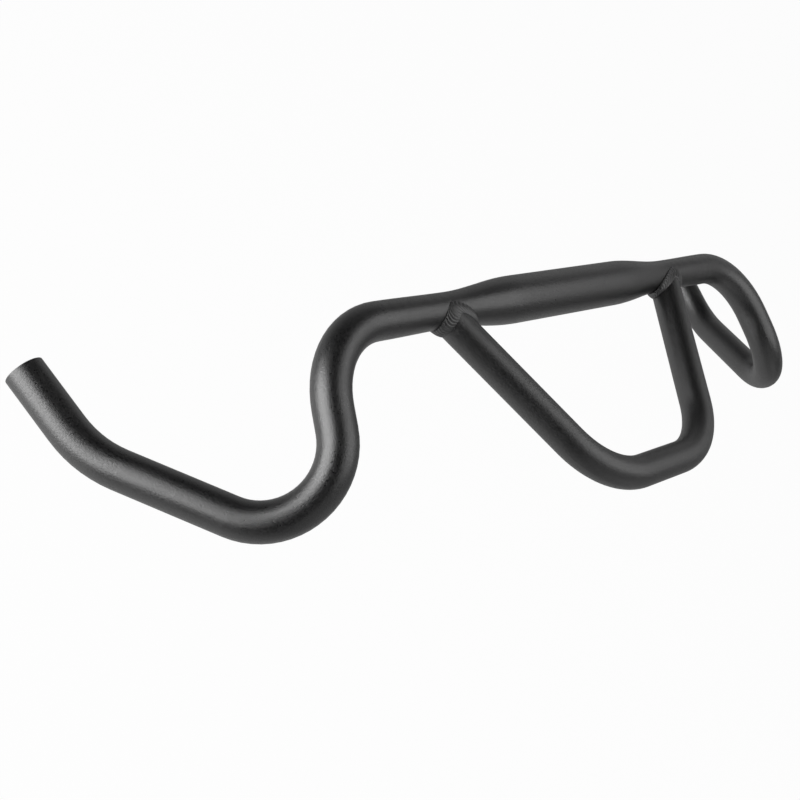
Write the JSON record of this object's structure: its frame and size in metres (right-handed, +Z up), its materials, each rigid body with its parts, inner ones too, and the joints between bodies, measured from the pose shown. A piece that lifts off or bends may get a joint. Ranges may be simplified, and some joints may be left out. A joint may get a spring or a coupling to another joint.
{
  "type": "gravel drop handlebar",
  "caption": "Black aluminium gravel drop handlebar with a round clamp barrel, short flared drops and a welded loop in front of the tops.",
  "frame": {"origin": "the middle of the stem clamp, on the axis of the bar", "axes": "+X across the bar towards the right hand seen from the front, -Y the direction of travel, +Z up, with the loop level"},
  "size_m": [0.7148, 0.2043, 0.1352],
  "materials": {
    "bar_black": "satin black anodised over fine blasting",
    "loop_black": "satin black anodised over fine blasting",
    "weld_black": "rippled weld bead, satin black anodised with the tubes"
  },
  "bodies": {
    "root": {"bar_tube": "bar_black", "loop_tube": "loop_black", "weld_bead_left": "weld_black", "weld_bead_right": "weld_black"}
  },
  "joints": []
}
